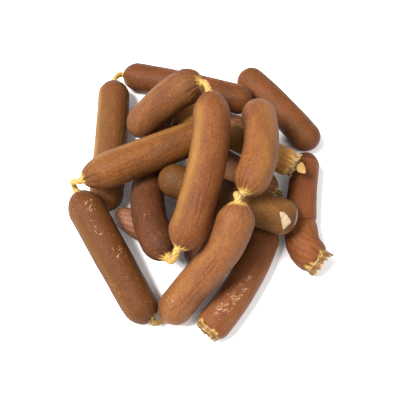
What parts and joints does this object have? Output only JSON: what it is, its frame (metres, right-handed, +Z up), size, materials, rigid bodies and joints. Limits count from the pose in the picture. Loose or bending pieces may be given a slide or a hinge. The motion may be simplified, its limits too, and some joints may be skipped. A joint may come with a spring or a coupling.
{
  "type": "string of grilled sausage links",
  "caption": "Heap of brown cooked sausage links still joined by twists of golden casing, some ends torn open.",
  "frame": {"origin": "on the table, under the middle of the heap's outline", "axes": "+Z up from the table, +Y along the heap's longest side to the back, +X to the right"},
  "size_m": [0.2178, 0.2622, 0.0987],
  "materials": {
    "skin": "reddish brown cooked casing, satin, finely wrinkled along the link",
    "golden_skin": "olive to golden brown casing, slightly translucent, satin",
    "casing": "dried golden casing, thin, glossy, crumpled and pale at torn edges"
  },
  "bodies": {
    "root": {"link_left": "skin", "link_back": "skin", "link_back_right": "skin", "link_right": "skin", "link_across": "skin", "link_front_left": "skin", "link_front": "skin", "link_right_top": "skin", "link_back_top": "skin", "link_top": "skin", "link_curved": "skin", "link_front_right": "skin", "link_under_right": "skin", "link_under_left": "skin", "link_under_front": "skin", "link_under_back": "skin", "link_golden": "golden_skin", "link_torn": "golden_skin", "twist_left_back": "casing", "twist_across_front_left": "casing", "twist_front_pair": "casing", "twist_front_right_top": "casing", "twist_back_top": "casing", "twist_top_curved": "casing", "stub_curved": "casing", "stub_under_right": "casing", "cuff_right": "casing", "cuff_front_right": "casing", "cuff_torn": "casing", "flap_golden": "casing", "curl_torn": "casing"}
  },
  "joints": []
}
